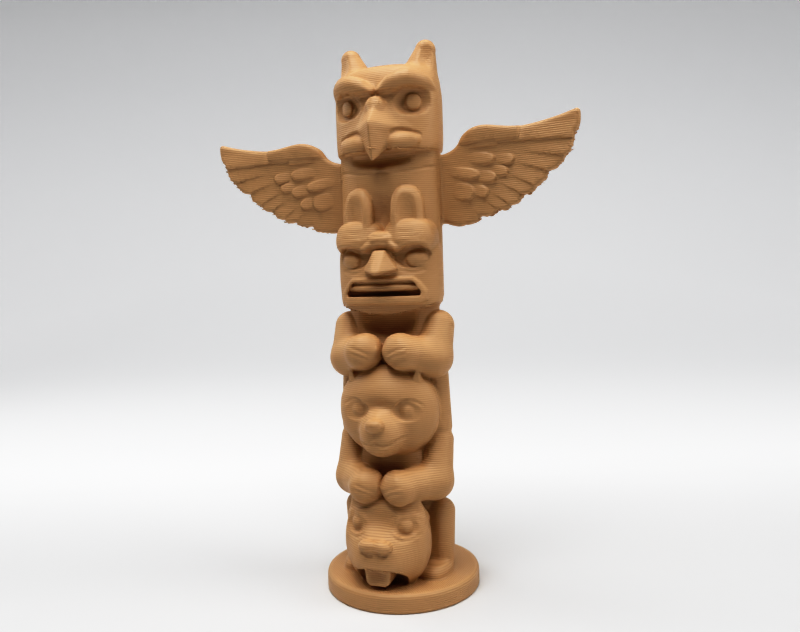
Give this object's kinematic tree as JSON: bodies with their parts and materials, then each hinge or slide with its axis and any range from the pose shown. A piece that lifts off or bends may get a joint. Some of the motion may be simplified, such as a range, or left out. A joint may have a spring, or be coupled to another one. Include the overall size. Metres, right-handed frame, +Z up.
{
  "type": "totem pole figurine",
  "caption": "Small one-piece printed totem pole: eagle with spread wings over a masked beast, a bear and a wolf, on a round base.",
  "frame": {"origin": "middle of the round base's underside", "axes": "+Z up the pole, -Y the way the figures look, +X along the figures' left wing"},
  "size_m": [0.0582, 0.0246, 0.084],
  "materials": {
    "printed_plastic": "tan printed plastic, matte, with fine level layer lines"
  },
  "bodies": {
    "root": {"totem_pole": "printed_plastic"}
  },
  "joints": []
}
